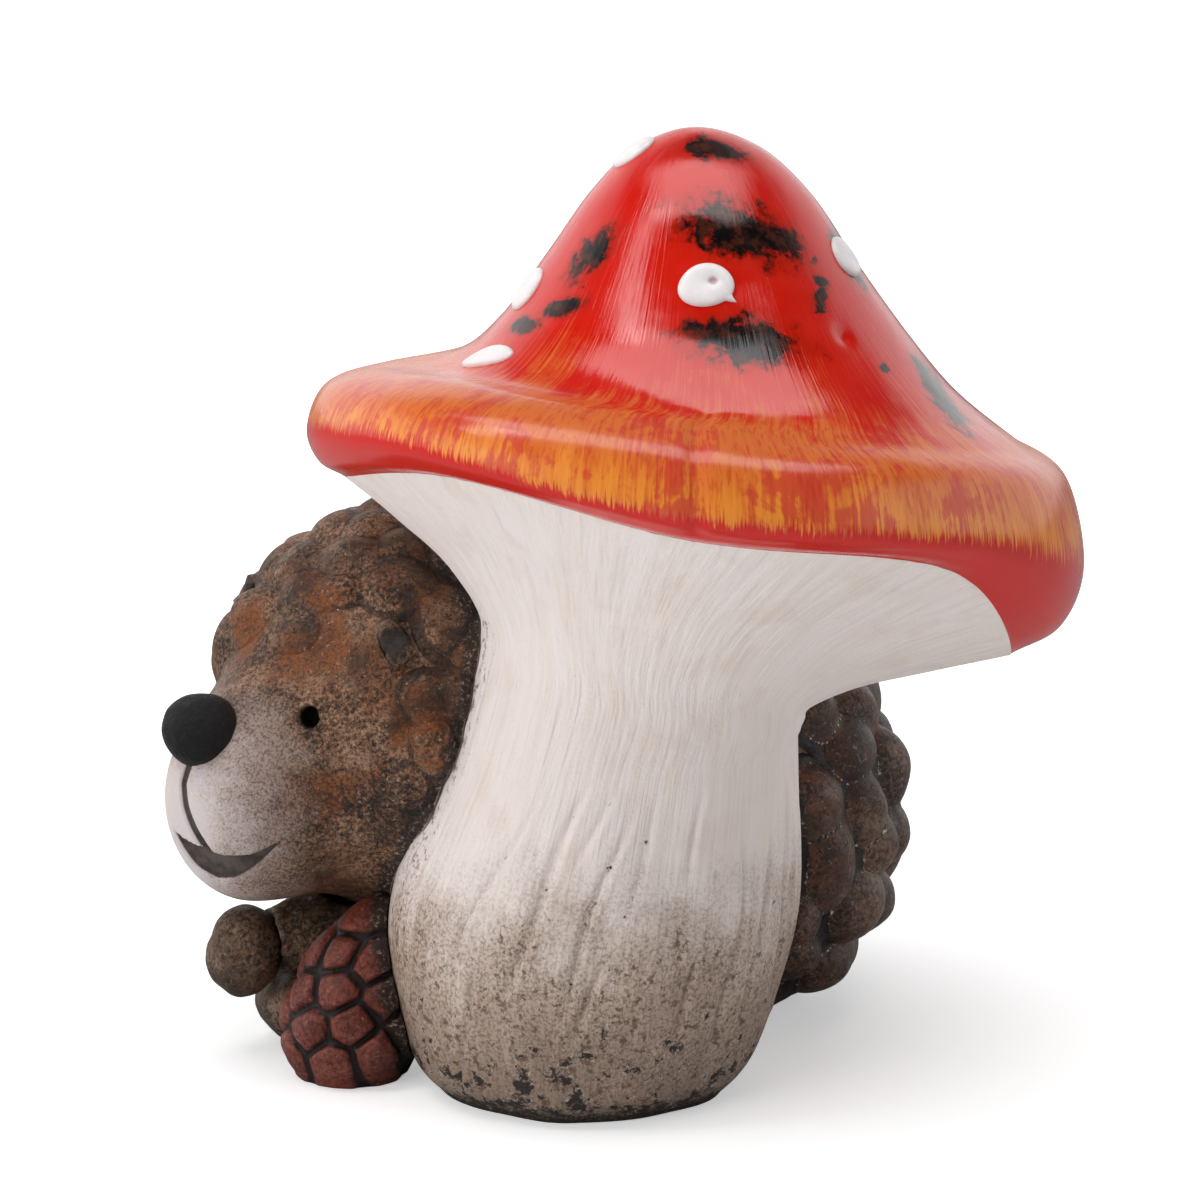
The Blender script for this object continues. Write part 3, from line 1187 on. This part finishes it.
def headPiece():
    # Rings run around the face, closer together at the muzzle, where the finest shapes are
    piece, azimuth, share = newWrap("hedgehogHead", 400, 230)
    muzzleShare, muzzleEnd = 0.62, 66
    behind = (share - muzzleShare) / (1 - muzzleShare) * (180 - muzzleEnd)
    polar = np.radians(np.where(share < muzzleShare, share / muzzleShare * muzzleEnd, muzzleEnd + behind))
    directions = turnedAround(face, azimuth, polar)
    reach = headReach(directions)
    points = outFrom(headMiddle, directions, reach)
    turn, rise = faceAngles(directions)
    mmPerDegree = reach * math.radians(1) / mm
    top = np.interp(turn, smile["turn"], smile["top"])
    bottom = np.interp(turn, smile["turn"], smile["bottom"])
    inside = np.minimum(top - rise, rise - bottom) * mmPerDegree
    inside = np.where((turn > smile["turn"][0]) & (turn < smile["turn"][-1]), inside, -5)
    mouth = smoothStep(*smile["mouthEdge"], inside)
    line = np.full(len(points), 1.0)
    philtrum = [onHead(faceDirection(*place)) for place in smile["philtrum"]]
    for start, end in zip(philtrum, philtrum[1:]):
        line = np.minimum(line, segmentDistance(points, start, end))
    crease = 1 - smoothStep(*smile["philtrumEdge"], line)
    eye = np.zeros(len(points))
    for place in smile["eyes"]:
        distance = np.linalg.norm(points - np.array(onHead(faceDirection(*place))), axis=1)
        eye = np.maximum(eye, 1 - smoothStep(*smile["eyeEdge"], distance))
    swell = 0.9 * mm * grain(points, 0.016, 11.0) * smoothStep(30, 60, np.degrees(polar))
    fold = 0.25 * mm * grain(points, 0.0045, 4.0) * smoothStep(25, 60, np.degrees(polar))
    reach += swell + fold - smile["depth"] * mouth - smile["philtrumDepth"] * crease - smile["eyeDepth"] * eye
    reach = seamLimit(headMiddle, directions, reach, 1)
    writePoints(piece, outFrom(headMiddle, directions, reach))
    storeMask(piece, "mouth", np.maximum(mouth, crease))
    storeMask(piece, "shade", smoothStep(58, 92, np.degrees(polar)) * smoothStep(-10, -45, rise))
    storeMask(piece, "eye", eye)
    storeBlank(piece, "crease", "crest")
    storeVector(piece, "faceAngle", np.stack([turn / 90, rise / 90, polar / math.pi], axis=1))
    mergePoints(piece)
    cutAway(piece, cutter)
    storeStains(piece)
    return piece


def coatPiece(name, middle, reachOf, axis, lumps, rows):
    # A shell of lumps over the hide, with a bottom just inside it; towards the face it sinks into the hide
    piece, azimuth, share = newWrap(name, *rows["sheet"])
    low, high = (math.radians(limit) for limit in rows["limits"])
    outside, edgeEnd, side = 0.86, 0.88, rows["side"]
    outer = share < outside
    polar = np.where(outer, low + (high - low) * share / outside,
                     high - (high - low) * (share - edgeEnd) / (1 - edgeEnd))
    polar = np.clip(polar, low, high)
    directions = turnedAround(axis, azimuth, polar)
    hide = reachOf(directions)
    points = outFrom(middle, directions, hide)
    turn, rise = faceAngles(directions)
    toFace = np.clip(np.degrees(np.arccos(np.clip(directions @ np.array(face), -1, 1))) / 90, 0, 1)
    near, away = rows["soft"]
    soft = near + (away - near) * smoothStep(*coat["soften"], toFace)
    lift, gap = lumpHeights(points, lumps, middle, reachOf, soft)
    rough = sum(rise * grain(points, size, seed) for rise, size, seed in coat["rough"])
    lift += rough * smoothStep(0, coat["full"], lift)
    rim = (share > 0.999) | (share < 0.001)
    reach = np.where(outer, hide + np.maximum(lift, -coat["rim"]), hide - coat["bottom"])
    reach = np.where(rim, hide - coat["rim"], reach)
    limited = seamLimit(middle, directions, reach, side)
    # at the neck the bottom stays behind the flat seam, so the shell keeps a thickness there
    reach = np.where((limited < reach) & ~outer & ~rim, limited - coat["neck"], limited)
    points = outFrom(middle, directions, reach)
    points[:, 2] = np.maximum(points[:, 2], np.where(outer | rim, *coat["lift"]))
    writePoints(piece, points)
    # on the head the creases fade towards the face
    seen = smoothStep(*coat["seen"], toFace) if side > 0 else 1.0
    storeMask(piece, "crease", (1 - smoothStep(*coat["creases"], gap)) * seen)
    storeMask(piece, "crest", smoothStep(*coat["crests"], lift))
    storeBlank(piece, "mouth", "eye", "shade")
    storeVector(piece, "faceAngle", np.stack([turn / 90, rise / 90, toFace / 2], axis=1))
    mergePoints(piece)
    cutAway(piece, cutter)
    storeStains(piece)
    return piece


def surfaceTree(piece):
    return BVHTree.FromPolygons([corner.co.copy() for corner in piece.data.vertices],
                                [tuple(side.vertices) for side in piece.data.polygons])


toadstoolTrees = [surfaceTree(stem), surfaceTree(flare)]
cutter = toadstoolCutter()
headAxis = faceDirection(0, -20)
headCoatLumps = rowLumps(headLumps, faceDirection, headMiddle, headReach, headAxis, coat["head"])
bodyCoatLumps = rowLumps(bodyLumps, bodyDirection, bodyMiddle, bodyReach, neckLine, coat["body"])
hideBrown = stainedMaterial("hideBrown", "hide")
finishPiece(headPiece(), ["hedgehog_head"], faceMaterial("faceBuff"))
headCoat = coatPiece("headQuills", headMiddle, headReach, headAxis, headCoatLumps, coat["head"])
finishPiece(headCoat, ["head_quills_%d" % (row + 1) for row in range(7)],
            faceMaterial("quillBrown"))
bodyCoat = coatPiece("bodyQuills", bodyMiddle, bodyReach, neckLine, bodyCoatLumps, coat["body"])
finishPiece(bodyCoat, ["body_quills_%d" % (row + 1) for row in range(6)],
            stainedMaterial("bodyBrown", "body"))
bpy.data.objects.remove(cutter)
print("head and coats formed")


# Smaller pieces

ear = {"spread": 0.0030, "depth": 0.0034, "rim": 0.0005}


def clayFrom(node, name, grainSize, rise, ball, voxel):
    # A CAD node's shape, evened out and rounded off like soft clay
    piece = frame["nodes"][node].copy()
    piece.data = piece.data.copy()
    for key in list(piece.keys()):
        del piece[key]
    piece.name = name
    bpy.context.scene.collection.objects.link(piece)
    piece.parent = None
    mergePoints(piece)
    applyModifier(piece, "REMESH", mode="VOXEL", voxel_size=voxel)
    applyModifier(piece, "SMOOTH", factor=0.5, iterations=14)
    points = readPoints(piece)
    low, high = points.min(axis=0), points.max(axis=0)
    share = (points - (low + high) / 2) / ((high - low) / 2)
    share *= (1 - ball + ball / np.linalg.norm(share, axis=1))[:, None]
    points = (low + high) / 2 + share * (high - low) / 2
    writePoints(piece, points)
    normals = readPoints(piece, "normal")
    lift = rise * grain(points, grainSize, 1.0) + 0.4 * rise * grain(points, grainSize * 0.45, 6.0)
    points += normals * (np.minimum(lift, 0.4 * rise) - 0.2 * rise)[:, None]
    hollow = np.zeros(len(points))
    if node.endswith("ear"):
        # An ear is dished: its middle is pressed in towards the head
        middle = points.mean(axis=0)
        inward = np.array((headMiddle - Vector(middle)).normalized())
        offset = points - middle
        aside = np.linalg.norm(offset - (offset @ inward)[:, None] * inward, axis=1)
        hollow = np.exp(-(aside / ear["spread"]) ** 2) * (offset @ inward < ear["rim"])
        points += inward * (ear["depth"] * hollow)[:, None]
    points[:, 2] = np.maximum(points[:, 2], 0.0)
    writePoints(piece, points)
    storeMask(piece, "crease", np.maximum(smoothStep(0.1 * rise, -0.9 * rise, lift), 1.5 * hollow))
    storeMask(piece, "crest", smoothStep(-0.2 * rise, 0.8 * rise, lift))
    return piece


clayPieces = {
    # name of the piece, size and rise of its grain, how far it is rounded to a ball, size of its faces
    "right_arm": ("rightArm", 0.006, 0.0009, 0.0, 0.0007),
    "right_paw": ("rightPaw", 0.007, 0.0007, 0.45, 0.0007),
    "right_foot": ("rightFoot", 0.007, 0.0008, 0.2, 0.0007),
    "tail": ("tailStub", 0.004, 0.0006, 0.0, 0.0007),
    "left_ear": ("leftEar", 0.004, 0.0005, 0.0, 0.0007),
    "right_ear": ("rightEar", 0.004, 0.0005, 0.0, 0.0007),
    "hedgehog_body": ("hedgehogBody", 0.008, 0.0008, 0.0, 0.0011),
    "nose": ("noseButton", 0.005, 0.0003, 0.75, 0.0005),
}
for node, sizes in clayPieces.items():
    material = noseMaterial() if node == "nose" else hideBrown
    finishPiece(clayFrom(node, *sizes), [node], material)
print("limbs, ears, tail, body and nose formed")


cone = {
    "middle": (-0.0430, 0.0015), "radius": 0.0135, "height": 0.0345, "lean": 0.0055,
    "outline": ((0.80, 0.0), (1.0, 0.22), (0.93, 0.48), (0.62, 0.78), (0.0, 1.0)),
    "plateRise": 0.0017, "grooveWidth": 0.0026, "domeReach": 0.0055,
    "nearStem": 0.02, "soot": (0.0005, 0.0075),
    # rise of a plate's edge and middle, and how far all of them are set in, as shares of plateRise
    "plate": (0.40, 0.60, 0.55),
    # azimuth and share of the height of each plate that shows
    "plates": ((192, 0.70), (236, 0.74), (231, 0.88), (277, 0.70), (207, 0.50), (248, 0.56), (178, 0.34),
               (228, 0.33), (268, 0.38), (205, 0.17), (255, 0.16), (296, 0.52), (290, 0.22), (160, 0.60),
               (150, 0.16), (140, 0.45), (120, 0.75), (100, 0.28), (60, 0.45), (20, 0.30), (320, 0.35)),
}


def conePiece():
    # A ball pulled into a squat cone of plates, pressed against stem and flare
    piece, azimuth, share = newWrap("pineCone", 220, 150)
    footFrom = 0.88
    foot = share > footFrom
    outline = [np.tile(np.array((reach * cone["radius"], 0, up * cone["height"])), (len(azimuth), 1))
               for reach, up in cone["outline"]]
    beyond = outline[-2] * np.array((-1, 1, 1))
    place = np.clip(4 * (1 - share / footFrom), 0, 4)
    profile = alongPath(outline, place, beyond)
    radius = profile[:, 0] * np.where(foot, (1 - share) / (1 - footFrom), 1)
    points = level(azimuth, radius, profile[:, 2])
    reaches, ups = zip(*cone["outline"])
    centres = []
    for turn, up in cone["plates"]:
        reach = np.interp(up, ups, reaches) * cone["radius"]
        centres.append(level(np.array([math.radians(turn)]), reach, up * cone["height"])[0])
    away = np.stack([np.linalg.norm((points - centre) * np.array((1, 1, 1.1)), axis=1) for centre in centres])
    away.sort(axis=0)
    apart = away[1] - away[0] + 0.5 * mm * grain(points, 0.004, 9.0)
    plate = smoothStep(0.0, cone["grooveWidth"], apart)
    dome = np.clip(1 - (away[0] / cone["domeReach"]) ** 2, 0, 1)
    out = level(azimuth, 1.0, 0.25)
    edge, middle, sunk = cone["plate"]
    lift = cone["plateRise"] * (plate * (edge + middle * dome) - sunk) + 0.2 * mm * grain(points, 0.003, 2.0)
    points += out * np.where(foot | (share < 0.02), 0, lift)[:, None]
    points[:, 0] += cone["middle"][0] + cone["lean"] * np.clip(points[:, 2] / cone["height"], 0, 1) ** 1.5
    points[:, 1] += cone["middle"][1]
    points[:, 2] = np.maximum(points[:, 2], 0)
    apartFrom = np.full(len(points), cone["nearStem"])
    for i, point in enumerate(points):
        for tree in toadstoolTrees:
            near, normal, _, distance = tree.find_nearest(Vector(point), cone["nearStem"])
            if near is not None:
                apartFrom[i] = min(apartFrom[i], distance)
                if (Vector(point) - near).dot(normal) < hedgehog["seam"]:
                    points[i] = near + normal * hedgehog["seam"]
    writePoints(piece, points)
    storeMask(piece, "soot", 1 - smoothStep(*cone["soot"], apartFrom))
    storeMask(piece, "crease", 1 - smoothStep(0.1 * cone["grooveWidth"], 1.15 * cone["grooveWidth"], apart))
    storeMask(piece, "crest", dome)
    mergePoints(piece)
    return piece


finishPiece(conePiece(), ["pine_cone"], stainedMaterial("coneRed", "cone"))
print("pine cone formed")


drop = {
    # thickness and depth under the glaze, then turn, half angle and length of the front dot's drip,
    # and for its dimple: place across and up, half width and half height, and depth as a share
    "thick": 0.0010, "sunk": 0.0004, "drip": (-40, 0.10, 0.34), "dimple": (0.0012, 0.0006, 0.0010, 0.0009),
    "dimpleDepth": 0.6,
}
dots = {
    # azimuth, distance out, half width and half height in mm, roll
    "front": (270, 28.2, 5.0, 4.1, 4), "left": (203, 40.0, 6.8, 2.9, 22),
    "left_high": (190, 30.0, 4.6, 4.6, 0), "left_peak": (184, 11.0, 4.8, 4.6, 0),
    "right": (343, 28.0, 4.8, 4.0, 0), "back": (95, 30.0, 5.0, 4.8, 0),
    "back_right": (45, 43.0, 5.6, 5.2, 0), "back_left": (135, 19.0, 4.6, 4.6, 0),
}


def dotPiece(name, azimuth, distance, wide, tall, roll):
    # A thick drop of paint that follows the cap
    deselectAll()
    bpy.ops.mesh.primitive_uv_sphere_add(segments=64, ring_count=32, radius=1)
    piece = bpy.context.active_object
    piece.name = "dot_" + name + "_paint"
    unit = readPoints(piece)
    place, normal = capSpot(azimuth, distance * mm)
    across, up = rolledSides(azimuth, normal, roll)
    if up.z < 0:
        across, up = -across, -up
    turn = np.arctan2(unit[:, 1], unit[:, 0])
    wobble = 1 + 0.035 * np.sin(2 * turn + azimuth) + 0.025 * np.sin(3 * turn + distance)
    far = np.clip(np.hypot(unit[:, 0], unit[:, 1]), 0, 1)
    u = unit[:, 0] * wobble * wide * mm
    v = unit[:, 1] * wobble * tall * mm
    dimple = np.zeros(len(unit))
    if name == "front":
        middle, spread, length = drop["drip"]
        drip = np.exp(-((turn - math.radians(middle)) / spread) ** 2) * smoothStep(0.90, 1.0, far)
        u, v = u * (1 + length * drip), v * (1 + length * drip)
        x, y, width, height = drop["dimple"]
        dimple = np.exp(-(((u - x) / width) ** 2 + ((v - y) / height) ** 2))
    thick = drop["thick"] * (1 - far ** 6) ** 0.5 * (0.75 + 0.25 * far) * (1 - drop["dimpleDepth"] * dimple)
    points = np.zeros_like(unit)
    for i in range(len(unit)):
        flat = place + across * u[i] + up * v[i]
        near, out, _, _ = capTree.find_nearest(flat)
        points[i] = near + out * (thick[i] if unit[i, 2] >= 0 else -drop["sunk"])
    writePoints(piece, points)
    storeMask(piece, "dimple", smoothStep(0.25, 0.8, dimple) * 0.9)
    return piece


capTree = surfaceTree(capTop)
dotWhite = dotMaterial()
for name, sizes in dots.items():
    finishPiece(dotPiece(name, *sizes), ["dot_" + name], dotWhite)
print("dots formed")
